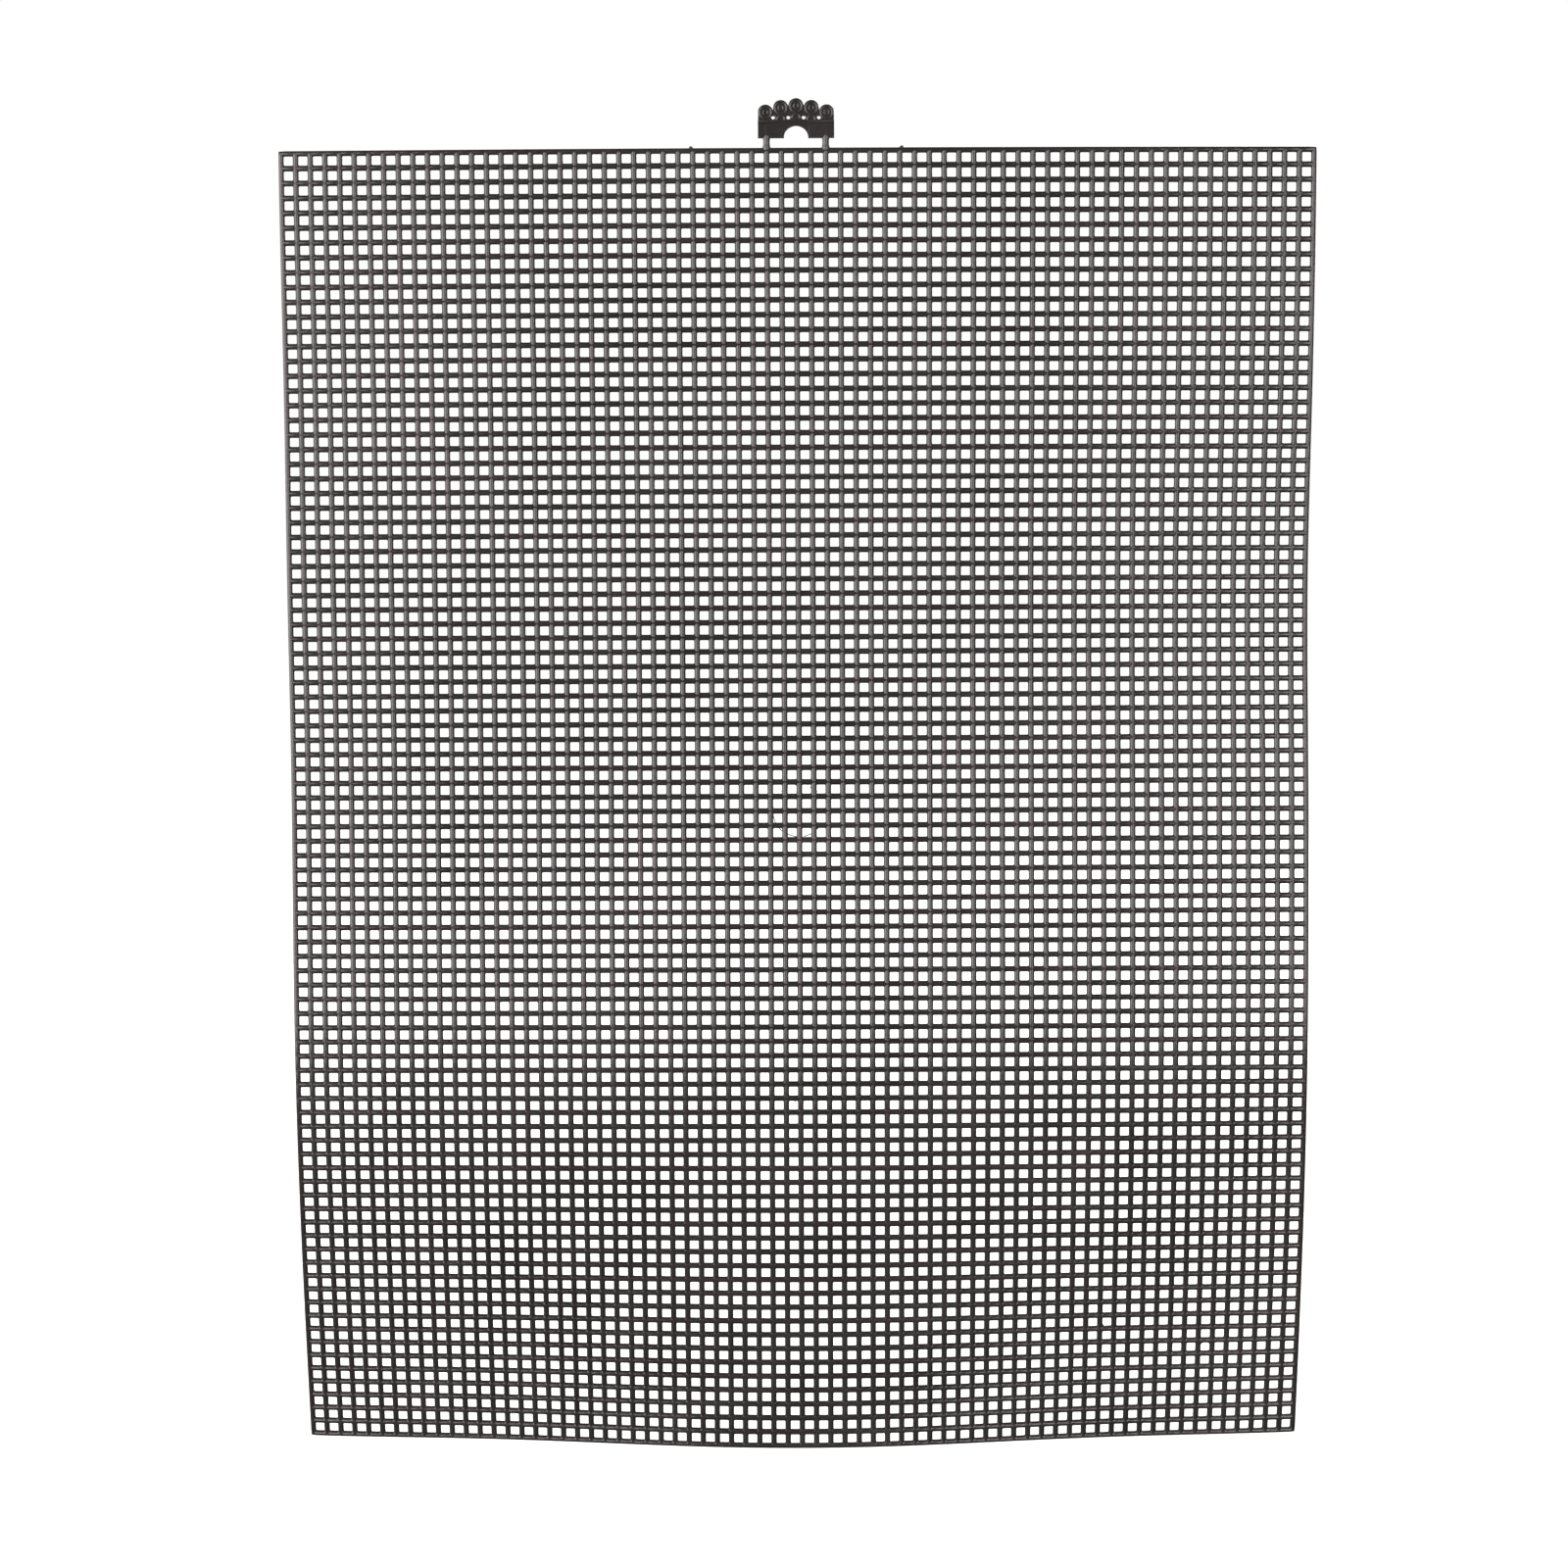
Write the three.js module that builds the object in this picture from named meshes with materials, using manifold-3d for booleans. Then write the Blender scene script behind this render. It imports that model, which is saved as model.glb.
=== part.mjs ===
// Plastic canvas: a moulded needlework mesh sheet with a snap-off hang tab on its top edge.
// Millimetres. +Z is up the sheet, -Y is the front face, +X is to the right seen from the front.
// The origin is the middle of the sheet's bottom edge, at half its thickness.
import * as THREE from 'three';
import { mergeVertices } from 'three/addons/utils/BufferGeometryUtils.js';
import Module from 'manifold-3d';

const wasm = await Module();
wasm.setup();

// Driving dimensions of the mesh.
const COLUMNS = 70; // stitch holes across
const ROWS = 90; // stitch holes up
const PITCH = 3.795; // hole to hole, both ways
const HOLE = 2.3; // side of a square stitch hole at the parting plane
const EDGE = 1.4; // width of the bar round the outside
const THICKNESS = 1.5;
const DRAFT = 0.22; // each bar is this much narrower on either flank at its outer face

// Driving dimensions of the hang tab.
const PLATE_WIDTH = 19.6;
const PLATE_HEIGHT = 4.2;
const NOTCH_RADIUS = 3.1; // half-round peg notch in the plate's lower edge
const NOTCH_FACETS = 11; // odd, so one flat facet lies across the crown
const LEG_WIDTH = 1.95;
const LEG_LENGTH = 2.45;
const LEG_DEPTH = 1.2;
const LEG_PITCHES = 2; // each leg stands over the second bar from the middle
const CREST_THICKNESS = 1.2;
const CREST_LOBES = 5;
const CREST_SHOULDER = 2.3; // height of the outer lobes' straight sides
const CREST_RISE = 1.6; // how much higher the middle lobe's sides stand
const CREST_EYE_RADIUS = 0.45; // pierced eye low down between two lobes
const CREST_EYE_HEIGHT = 0.95; // middle of each eye above the plate
const CREST_FACETS = 8; // facets round half a lobe
const LEG_FACETS = 8; // facets round a leg's front

// Driving dimensions of the two gate stubs left on the top edge.
const STUB_OFFSET = 27; // from the middle of the sheet
const STUB_WIDTH = 1.2;
const STUB_HEIGHT = 0.5;
const STUB_DEPTH = 0.9;

// Worked out from the above.
const WIDTH = (COLUMNS - 1) * PITCH + HOLE + 2 * EDGE;
const HEIGHT = (ROWS - 1) * PITCH + HOLE + 2 * EDGE;
const LAYER = THICKNESS / 2; // the two mould halves meet at half thickness
const PLATE_BOTTOM = HEIGHT + LEG_LENGTH;
const PLATE_TOP = PLATE_BOTTOM + PLATE_HEIGHT;
const LOBE_RADIUS = PLATE_WIDTH / CREST_LOBES / 2;

const blackPlastic = new THREE.MeshStandardMaterial({ color: 0x262322, roughness: 0.42, metalness: 0 });

function solid(name, geometry) {
  const mesh = new THREE.Mesh(geometry, blackPlastic);
  mesh.name = name;
  return mesh;
}

// Extrudes a shape drawn in X and Z, so that it fills Y from front to back.
function extrudeAlongY(shape, front, back, curveSegments) {
  const depth = back - front;
  const geometry = new THREE.ExtrudeGeometry(shape, { depth, bevelEnabled: false, curveSegments });
  geometry.rotateX(Math.PI / 2);
  geometry.translate(0, back, 0);
  return geometry;
}

// A three.js geometry as a closed manifold solid, and back again.
function toSolid(geometry) {
  const bare = geometry.clone();
  bare.deleteAttribute('normal');
  bare.deleteAttribute('uv');
  const merged = mergeVertices(bare);
  const vertProperties = new Float32Array(merged.attributes.position.array);
  const triVerts = new Uint32Array(merged.index.array);
  return new wasm.Manifold(new wasm.Mesh({ numProp: 3, vertProperties, triVerts }));
}

function toGeometry(manifold) {
  const { vertProperties, triVerts } = manifold.getMesh();
  const indexed = new THREE.BufferGeometry();
  indexed.setAttribute('position', new THREE.BufferAttribute(vertProperties, 3));
  indexed.setIndex(new THREE.BufferAttribute(triVerts, 1));
  const geometry = indexed.toNonIndexed();
  geometry.computeVertexNormals();
  return geometry;
}

// A box that cuts one drafted slot through a layer from y = 0 out to y = outerY.
// It is twice as deep as the layer, so it passes both faces by half the layer's depth,
// and its flanks open by the draft over one layer. The slot has its true size at y = 0.
function slotCutter(width, height, outerY) {
  const cutter = new THREE.BoxGeometry(width, 2 * LAYER, height);
  const position = cutter.attributes.position;
  const outward = Math.sign(outerY);
  const layersToOuterEnd = 1.5;
  const layersToInnerEnd = -0.5;
  for (let i = 0; i < position.count; i += 1) {
    const layers = position.getY(i) * outward > 0 ? layersToOuterEnd : layersToInnerEnd;
    position.setX(i, position.getX(i) + Math.sign(position.getX(i)) * DRAFT * layers);
    position.setZ(i, position.getZ(i) + Math.sign(position.getZ(i)) * DRAFT * layers);
  }
  cutter.translate(0, outerY / 2, 0);
  return cutter;
}

// One half of the sheet's thickness: the slots leave parallel drafted bars, tied at both ends by a rail.
function slottedLayer(name, outerY, count, slotWidth, slotHeight, slotCentre) {
  const slab = new THREE.BoxGeometry(WIDTH, LAYER, HEIGHT);
  slab.translate(0, outerY / 2, HEIGHT / 2);
  let layer = toSolid(slab);
  const cutter = toSolid(slotCutter(slotWidth, slotHeight, outerY));
  for (let i = 0; i < count; i += 1) {
    layer = layer.subtract(cutter.translate(slotCentre(i)));
  }
  return solid(name, toGeometry(layer));
}

// The front half of the thickness holds the upright bars.
function frontGrid() {
  const firstSlot = -WIDTH / 2 + EDGE + HOLE / 2;
  const centre = (i) => [firstSlot + i * PITCH, 0, HEIGHT / 2];
  return slottedLayer('front_grid', -LAYER, COLUMNS, HOLE, HEIGHT - 2 * EDGE, centre);
}

// The back half of the thickness holds the level bars.
function backGrid() {
  const firstSlot = EDGE + HOLE / 2;
  const centre = (i) => [0, 0, firstSlot + i * PITCH];
  return slottedLayer('back_grid', LAYER, ROWS, WIDTH - 2 * EDGE, HOLE, centre);
}

// The tab's plate, with facets tangent to the notch's true radius.
function hangerPlate() {
  const half = PLATE_WIDTH / 2;
  const corner = NOTCH_RADIUS / Math.cos(Math.PI / (2 * NOTCH_FACETS));
  const shape = new THREE.Shape();
  shape.moveTo(-half, PLATE_BOTTOM);
  for (let i = 0; i <= NOTCH_FACETS; i += 1) {
    const angle = Math.PI * (1 - i / NOTCH_FACETS);
    shape.lineTo(corner * Math.cos(angle), PLATE_BOTTOM + corner * Math.sin(angle));
  }
  shape.lineTo(half, PLATE_BOTTOM);
  shape.lineTo(half, PLATE_TOP);
  shape.lineTo(-half, PLATE_TOP);
  shape.closePath();
  return solid('hanger_plate', extrudeAlongY(shape, -LAYER, LAYER, 1));
}

// A leg is half-round in front and flat behind, standing on the sheet's top edge.
function hangerLeg(name, side) {
  const profile = new THREE.Shape();
  const half = LEG_WIDTH / 2;
  const back = LEG_DEPTH / 2;
  profile.moveTo(-half, back);
  profile.lineTo(-half, 0);
  profile.absellipse(0, 0, half, back, Math.PI, 2 * Math.PI, false);
  profile.lineTo(half, back);
  profile.closePath();
  const settings = { depth: LEG_LENGTH, bevelEnabled: false, curveSegments: LEG_FACETS };
  const leg = solid(name, new THREE.ExtrudeGeometry(profile, settings));
  leg.position.set(side * LEG_PITCHES * PITCH, 0, HEIGHT);
  return leg;
}

// How high the straight sides of a crest lobe stand, from a cosine over the plate's width.
function lobeShoulder(index) {
  const across = (index - (CREST_LOBES - 1) / 2) / ((CREST_LOBES - 1) / 2);
  return CREST_SHOULDER + CREST_RISE * Math.cos((across * Math.PI) / 2);
}

// A plain scalloped crest, highest in the middle, with a small eye between each pair of lobes.
function hangerCrest() {
  const shape = new THREE.Shape();
  shape.moveTo(-PLATE_WIDTH / 2, PLATE_TOP);
  for (let i = 0; i < CREST_LOBES; i += 1) {
    const middle = -PLATE_WIDTH / 2 + (2 * i + 1) * LOBE_RADIUS;
    const springing = PLATE_TOP + lobeShoulder(i);
    shape.lineTo(middle - LOBE_RADIUS, springing);
    shape.absarc(middle, springing, LOBE_RADIUS, Math.PI, 0, true);
  }
  for (let i = 1; i < CREST_LOBES; i += 1) {
    const between = -PLATE_WIDTH / 2 + 2 * i * LOBE_RADIUS;
    const eye = new THREE.Path();
    eye.absarc(between, PLATE_TOP + CREST_EYE_HEIGHT, CREST_EYE_RADIUS, 0, 2 * Math.PI, false);
    shape.holes.push(eye);
  }
  shape.lineTo(PLATE_WIDTH / 2, PLATE_TOP);
  shape.closePath();
  const half = CREST_THICKNESS / 2;
  return solid('hanger_crest', extrudeAlongY(shape, -half, half, CREST_FACETS));
}

// What is left of a moulding gate: a small nub, narrower at the top.
function gateStub(name, side) {
  const shape = new THREE.Shape();
  shape.moveTo(-STUB_WIDTH / 2, 0);
  shape.lineTo(STUB_WIDTH / 2, 0);
  shape.lineTo(STUB_WIDTH / 4, STUB_HEIGHT);
  shape.lineTo(-STUB_WIDTH / 4, STUB_HEIGHT);
  shape.closePath();
  const stub = solid(name, extrudeAlongY(shape, -STUB_DEPTH / 2, STUB_DEPTH / 2, 1));
  stub.position.set(side * STUB_OFFSET, 0, HEIGHT);
  return stub;
}

const sheet = new THREE.Group();
sheet.add(frontGrid(), backGrid(), gateStub('gate_stub_left', -1), gateStub('gate_stub_right', 1));

const hanger = new THREE.Group();
hanger.add(hangerPlate(), hangerCrest());
hanger.add(hangerLeg('hanger_leg_left', -1), hangerLeg('hanger_leg_right', 1));

const plasticCanvas = new THREE.Group();
plasticCanvas.add(sheet, hanger);

export default plasticCanvas;
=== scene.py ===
"""A plastic canvas sheet: a black moulded needlework mesh with a snap-off hang tab.

Metres. +Z is up the sheet, -Y is its front face. Every piece is first built flat, as the mould
made it, and then takes the relaxed waves that a thin sheet has out of its pack (settle).
"""
import math

import bmesh
import bpy
import numpy as np
from mathutils import Matrix, Vector
from mathutils.geometry import tessellate_polygon


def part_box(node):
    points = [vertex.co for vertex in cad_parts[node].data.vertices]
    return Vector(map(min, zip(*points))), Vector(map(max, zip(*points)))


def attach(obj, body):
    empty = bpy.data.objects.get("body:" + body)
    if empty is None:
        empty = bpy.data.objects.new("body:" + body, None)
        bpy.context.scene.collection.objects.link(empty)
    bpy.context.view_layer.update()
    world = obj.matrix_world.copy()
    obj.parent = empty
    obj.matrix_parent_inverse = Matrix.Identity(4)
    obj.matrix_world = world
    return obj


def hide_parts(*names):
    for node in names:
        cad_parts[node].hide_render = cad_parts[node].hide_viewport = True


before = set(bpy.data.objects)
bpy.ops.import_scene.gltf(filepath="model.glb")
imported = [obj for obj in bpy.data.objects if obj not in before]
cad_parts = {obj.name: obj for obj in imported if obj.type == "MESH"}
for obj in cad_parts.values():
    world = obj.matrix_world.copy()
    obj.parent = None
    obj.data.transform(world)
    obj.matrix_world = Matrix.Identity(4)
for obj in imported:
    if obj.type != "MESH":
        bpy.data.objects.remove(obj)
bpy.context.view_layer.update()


def middle_x(node):
    """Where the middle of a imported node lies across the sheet."""
    node_low, node_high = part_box(node)
    return node_low.x / 2 + node_high.x / 2


MM = 0.001
BODY = "root"

# The mesh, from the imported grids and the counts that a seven-count sheet has.
COLUMNS = 70
ROWS = 90
ROWS_PER_BAND = 18
HOLE = 2.3 * MM
EDGE = 1.4 * MM
HOLE_CORNER = 0.22 * MM
HALF_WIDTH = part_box("front_grid")[1].x
SHEET_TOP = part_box("front_grid")[1].z
MIDDLE = SHEET_TOP / 2
HALF_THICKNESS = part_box("back_grid")[1].y
PITCH = (2 * HALF_WIDTH - 2 * EDGE - HOLE) / (COLUMNS - 1)

# Bar section from the front ridge, over the parting line, to the back ridge:
# (share of the bar's half width, share of half the thickness). The back is the flatter side.
BAR_SECTION = (
    (0.0, 1.0), (0.42, 0.91), (0.76, 0.65), (0.95, 0.30), (1.0, 0.0), (0.90, -0.62), (0.0, -1.0),
)
# Where two bars cross, their front ridges dip by this share of half the thickness. The dip reaches
# this far along the level and the upright bars.
CROSSING_DIP = 0.14
DIP_ACROSS = 0.95 * MM
DIP_UPWARD = 0.48 * MM
# The sheet's outer corners are blunt. Each stands out by this share of the edge bar's half width.
CORNER_REACH = 0.86

# The hang tab, standing on the middle of the top edge.
PLATE_LOW, PLATE_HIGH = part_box("hanger_plate")
PLATE_ROUNDING = 0.12 * MM
NOTCH_RADIUS = 3.1 * MM
NOTCH_POINTS = 41
LEG_OFFSET = middle_x("hanger_leg_right")
# The legs were bent a little above the sheet, and are strained this far either way.
BEND_HEIGHT = 0.3 * MM
BEND_REACH = 0.8 * MM

# A raised blank field on either side of the notch, and a rib under the crest.
FIELD_ABOVE_EDGE = 1.0 * MM
FIELD_BELOW_TOP = 1.15 * MM
FIELD_FROM_NOTCH = 0.25 * MM
FIELD_FROM_SIDE = 1.9 * MM
FIELD_RISE = 0.12 * MM
FIELD_ROUNDING = 0.05 * MM
RIB_RADIUS = 0.34 * MM
RIB_DEPTH = -0.62 * MM
RIB_BELOW_TOP = 0.35 * MM
RIB_FROM_SIDE = 0.3 * MM
RIB_POINTS = 13

# The crest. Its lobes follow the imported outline, and a groove parts each from the next.
CREST_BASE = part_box("hanger_crest")[0].z
CREST_HALF_THICKNESS = 0.6 * MM
CREST_ROUNDING = 0.2 * MM
CREST_LET_IN = 0.1 * MM
LOBES = 5
LOBE_RADIUS = PLATE_HIGH.x / LOBES
LOBE_SHOULDER = 2.3 * MM
LOBE_RISE = 1.6 * MM
LOBE_POINTS = 25
GROOVE_ANGLE = 16
EYE_RADIUS = 0.45 * MM
EYE_HEIGHT = 0.95 * MM
EYE_POINTS = 24

# Beads on the crest's front: a rim and a ring on each lobe, and a scallop below where there is room.
BEAD_DEPTH = -0.5 * MM
RIM_INSET = 0.45 * MM
RIM_BEAD = 0.40 * MM
RIM_POINTS = 36
RING_RADIUS = 0.62 * MM
RING_BEAD = 0.30 * MM
RING_POINTS = 24
SCALLOP_RADIUS = 1.0 * MM
SCALLOP_SWEEP = (190, -10)
SCALLOP_POINTS = 15
SCALLOP_ROOM = 0.3 * MM

# How blunt the back corners of the legs and the torn gates are. Higher is squarer.
BACK_BLUNTNESS = 3
LEG_POINTS = 24
STUB_POINTS = 12

# How slabs are built: steps round each edge, a flat margin inside it, and the longest corner offset.
ROUNDING_STEPS = 4
FLAT_MARGIN = 0.08 * MM
LONGEST_MITRE = 1.5

# The torn gates. Above the tear height they are fully strained.
STUB_OFFSET = middle_x("gate_stub_right")
TEAR_HEIGHT = 0.4 * MM

# Round inserts in the mould left faint circles in the mesh: (height of the middle, radius).
INSERT_CIRCLE = (MIDDLE, 6.85 * MM)
LOWER_CIRCLE = (MIDDLE - 22 * PITCH, 6.5 * MM)
# Hairs of flash on the first circle: first and last angle, and millimetres strayed inside the circle.
FLASH_HAIRS = ((188, 241, -0.10), (243, 266, 0.06), (268, 276, 0.0), (279, 299, 0.10), (304, 324, 0.22))
HAIR_POINTS = 16
FLASH_RADIUS = 0.12 * MM
FLASH_DEPTH = -0.10 * MM
# Burrs on both circles: their angles, and how they stretch across, in depth and upward.
INSERT_BURRS = (28, 47, 63, 71, 88, 97, 114, 131, 152, 171)
LOWER_BURRS = (12, 49, 84, 103, 148, 176, 211, 247, 282, 316, 338)
BURR_STRETCH = (1.3, 1.0, 0.9, 1.0)

# Single flaws. Bars and holes count from 0 at the lower left. A nib stands on each of these
# crossings, coloured pale as a painted glint: (upright bar, level bar). Flash fills these corners
# of two holes: (column, row, corner across, corner upward, radius).
NIB_CROSSINGS = ((9, 56), (11, 56), (13, 56), (17, 41), (19, 39), (19, 37), (22, 35), (37, 20))
FILLED_CORNERS = ((56, 8, -1, -1, 0.85 * MM), (63, 6, -1, 1, 0.5 * MM), (63, 6, 1, 1, 0.5 * MM))
NIB_RADIUS = 0.21 * MM
NIB_OFFSET = Vector((0.19 * MM, -0.68 * MM, 0.10 * MM))
WEB_HALF_DEPTH = 0.35 * MM
WEB_ROUNDING = 0.05 * MM
WEB_LET_IN = 0.12 * MM
WEB_POINTS = 11

# The sheet's relaxed shape: how far its surface stands in front of its flat plane.
# u runs from -1 at the left edge to 1 at the right, v from -1 at the bottom to 1 at the top.
SETTLE_FORWARD = 4.4 * MM  # of the whole sheet
RIPPLE = 2.4 * MM  # amplitude of a wave that runs up the sheet
RIPPLE_CREST = -0.346  # v of its crest
RIPPLE_LENGTH = 1.33  # in v
CROSS_BOW = 1.57 * MM  # how far the two sides stand behind the middle
TWIST = 0.6 * MM
CURL_START = -0.29  # below this v the sheet curls back
CURL_LEVEL = 1.07 * MM  # curl of the whole bottom edge
CURL_CORNERS = 8.7 * MM  # curl added towards the corners
CURL_FLUTE = 1.86 * MM  # amplitude of a wave along the bottom edge
CURL_FLUTES = 0.85  # its waves in the half width
WARP = 3.3 * MM  # right side back and left side forward
WARP_HEIGHT = 0.348  # v where the warp is deepest
WARP_SPREAD = 0.238  # in v
SHORTENING_STEPS = 12

# Colours of the plastic: the pigment's two ends, bent plastic, a painted glint on the nibs, and the dust
# on it.
DARK_PIGMENT = (0.0132, 0.0119, 0.0113, 1)
LIGHT_PIGMENT = (0.0248, 0.0224, 0.0210, 1)
BENT_PLASTIC = (0.062, 0.059, 0.057, 1)
PAINTED_NIB_GLINT = (0.36, 0.34, 0.34, 1)
DUST = (0.11, 0.105, 0.10, 1)
SHEEN_SPREAD = 0.75

# Soft upright lamps: name, degrees from the front (positive to the right), width, foot, top, radiance.
LAMPS = (
    ("left_front", -39.5, 1.24, -0.2, 1.0, 7.0),
    ("left_side", -88, 1.4, -0.2, 1.0, 5.0),
    ("right_front", 28, 0.64, -0.2, 1.0, 7.0),
    ("back", 150, 1.2, 0.2, 1.2, 4.0),
)
LAMP_DISTANCE = 1.5
LAMP_TINT = (1.0, 0.93, 0.935)
FILL_LIGHT = 0.09
FLOOR_HALF_SIDE = 4.0
FLOOR_HEIGHT = -0.3 * MM

# The camera, where the photograph was taken from.
LENS = 76.6
SENSOR = 36.0
NEAR_CLIP = 50 * MM
CAMERA_DISTANCE = 0.8735
CAMERA_PITCH = math.radians(5.30)
CAMERA_YAW = math.radians(0.68)
CAMERA_ROLL = math.radians(0.30)
AIM_RIGHT = -4.0 * MM
AIM_UP = 7.1 * MM


# ---------------------------------------------------------------- relaxed shape

def forward(x, z):
    """How far the relaxed sheet stands in front of the flat one."""
    u = x / HALF_WIDTH
    v = (z - MIDDLE) / MIDDLE
    ripple = RIPPLE * np.cos(2 * math.pi * (v - RIPPLE_CREST) / RIPPLE_LENGTH)
    curled = np.maximum(0.0, (CURL_START - v) / (1 + CURL_START)) ** 2
    flute = CURL_FLUTE * np.cos(2 * math.pi * CURL_FLUTES * u)
    curl = curled * (CURL_LEVEL + CURL_CORNERS * u * u - flute)
    warp = WARP * u * np.exp(-(((v - WARP_HEIGHT) / WARP_SPREAD) ** 2))
    return SETTLE_FORWARD + ripple - CROSS_BOW * u * u + TWIST * u * v - curl - warp


def slopes(x, z):
    """The relaxed surface's two slopes, by central differences."""
    step = 0.1 * MM
    across = (forward(x + step, z) - forward(x - step, z)) / (2 * step)
    upward = (forward(x, z + step) - forward(x, z - step)) / (2 * step)
    return across, upward


def shortening(x, z):
    """How far bending draws each point in towards the sheet's middle, across and upward."""
    drawn_x = np.zeros_like(x)
    drawn_z = np.zeros_like(z)
    for i in range(SHORTENING_STEPS):
        share = (i + 0.5) / SHORTENING_STEPS
        across, _ = slopes(x * share, z)
        _, upward = slopes(x, MIDDLE + (z - MIDDLE) * share)
        drawn_x += 0.5 * across**2 * x / SHORTENING_STEPS
        drawn_z += 0.5 * upward**2 * (z - MIDDLE) / SHORTENING_STEPS
    return drawn_x, drawn_z


FOOT_DRAWN = float(shortening(np.zeros(1), np.zeros(1))[1][0])


def settle(points):
    """Moves points of the flat sheet to the relaxed one. The middle of the bottom edge stays at z = 0."""
    x, y, z = np.asarray(points, float).T
    across, upward = slopes(x, z)
    drawn_x, drawn_z = shortening(x, z)
    length = np.sqrt(1 + across**2 + upward**2)
    depth = -y / length
    settled_x = x - drawn_x - across * depth
    settled_y = -forward(x, z) - depth
    settled_z = z - drawn_z + FOOT_DRAWN - upward * depth
    return np.stack([settled_x, settled_y, settled_z], axis=1)


def settle_mesh(mesh):
    points = np.empty(len(mesh.vertices) * 3)
    mesh.vertices.foreach_get("co", points)
    mesh.vertices.foreach_set("co", settle(points.reshape(-1, 3)).ravel())
    mesh.update()


# ---------------------------------------------------------------- pieces

def add_piece(name, mesh, material, replaced=()):
    """Links a finished mesh as a piece of the object, riding on its one body."""
    mesh.materials.clear()
    mesh.materials.append(material)
    piece = bpy.data.objects.new(name, mesh)
    bpy.context.scene.collection.objects.link(piece)
    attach(piece, BODY)
    if replaced:
        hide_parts(*replaced)


# ---------------------------------------------------------------- the mesh sheet

def bar_lines(count, low, high):
    """Centre lines and half widths of count + 1 parallel bars between two outer faces."""
    bar = PITCH - HOLE
    inner = low + EDGE + HOLE + bar / 2 + PITCH * np.arange(count - 1)
    lines = np.concatenate([[low + EDGE / 2], inner, [high - EDGE / 2]])
    halves = np.full(count + 1, bar / 2)
    halves[[0, -1]] = EDGE / 2
    return lines, halves


def cell_rings(lines_x, half_x, lines_z, half_z):
    """Vertices of every cell as [row, column, ring, place round the hole, xyz].

    A cell runs from the ridges of the four bars round one hole, down into the hole and out to the
    ridges on the back. Each ring has 12 places, anticlockwise from the lower left corner.
    """
    left, right = lines_x[None, :-1], lines_x[None, 1:]
    low, high = lines_z[:-1, None], lines_z[1:, None]
    half_left, half_right = half_x[None, :-1], half_x[None, 1:]
    half_low, half_high = half_z[:-1, None], half_z[1:, None]
    rings = np.empty((len(lines_z) - 1, len(lines_x) - 1, len(BAR_SECTION), 12, 3))
    for k, (share, height) in enumerate(BAR_SECTION):
        corner = share * HOLE_CORNER
        inset = corner * (1 - math.sqrt(0.5))
        x_corner_left = left + share * half_left + inset
        x_corner_right = right - share * half_right - inset
        z_corner_low = low + share * half_low + inset
        z_corner_high = high - share * half_high - inset
        x_run_left = left + np.maximum(DIP_ACROSS, share * half_left + corner)
        x_run_right = right - np.maximum(DIP_ACROSS, share * half_right + corner)
        z_run_low = low + np.maximum(DIP_UPWARD, share * half_low + corner)
        z_run_high = high - np.maximum(DIP_UPWARD, share * half_high + corner)
        x_left = left + share * half_left
        x_right = right - share * half_right
        z_low = low + share * half_low
        z_high = high - share * half_high
        places = (
            (x_corner_left, z_corner_low), (x_run_left, z_low), (x_run_right, z_low),
            (x_corner_right, z_corner_low), (x_right, z_run_low), (x_right, z_run_high),
            (x_corner_right, z_corner_high), (x_run_right, z_high), (x_run_left, z_high),
            (x_corner_left, z_corner_high), (x_left, z_run_high), (x_left, z_run_low),
        )
        for n, (x, z) in enumerate(places):
            lowered = CROSSING_DIP * (1 - share) if n % 3 == 0 and height > 0 else 0.0
            rings[:, :, k, n, 0] = x
            rings[:, :, k, n, 1] = -HALF_THICKNESS * height * (1 - lowered)
            rings[:, :, k, n, 2] = z
    return rings


def outline_rings(cells):
    """Vertices of the edge bar's outer flank as [place round the outline, ring, xyz], anticlockwise.

    Also returns the places of the four corners, from the lower left.
    """
    ridge = cells[:, :, 0]
    bottom = ridge[0][:, 0:3].reshape(-1, 3)
    right = ridge[:, -1][:, 3:6].reshape(-1, 3)
    top = ridge[-1][::-1, 6:9].reshape(-1, 3)
    left = ridge[::-1, 0][:, 9:12].reshape(-1, 3)
    loop = np.concatenate([bottom, right, top, left])
    outward = np.concatenate([
        np.tile([0.0, -1.0], (len(bottom), 1)),
        np.tile([1.0, 0.0], (len(right), 1)),
        np.tile([0.0, 1.0], (len(top), 1)),
        np.tile([-1.0, 0.0], (len(left), 1)),
    ])
    corners = np.cumsum([0, len(bottom), len(right), len(top)])
    for corner, direction in zip(corners, ((-1, -1), (1, -1), (1, 1), (-1, 1))):
        outward[corner] = np.array(direction) * CORNER_REACH
    rings = np.repeat(loop[:, None, :], len(BAR_SECTION), axis=1)
    for k, (share, height) in enumerate(BAR_SECTION):
        rings[:, k, 0] += outward[:, 0] * share * EDGE / 2
        rings[:, k, 2] += outward[:, 1] * share * EDGE / 2
        rings[:, k, 1] = loop[:, 1] * height if height > 0 else -HALF_THICKNESS * height
    return rings, corners


def weld(points):
    """Gives equal points one index each. Returns the distinct points and every point's index."""
    grid = np.round(points / (1e-4 * MM)).astype(np.int64)
    _, first, index = np.unique(grid, axis=0, return_index=True, return_inverse=True)
    return points[first], index.reshape(-1)


def vertex_normals(points, quads):
    """Smooth normals, each the sum of its faces' area vectors."""
    a, b, c, d = (points[quads[:, i]] for i in range(4))
    area = np.cross(c - a, d - b)
    normals = np.zeros_like(points)
    for i in range(4):
        for axis in range(3):
            normals[:, axis] += np.bincount(quads[:, i], area[:, axis], len(points))
    return normals / np.linalg.norm(normals, axis=1, keepdims=True)


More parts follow.
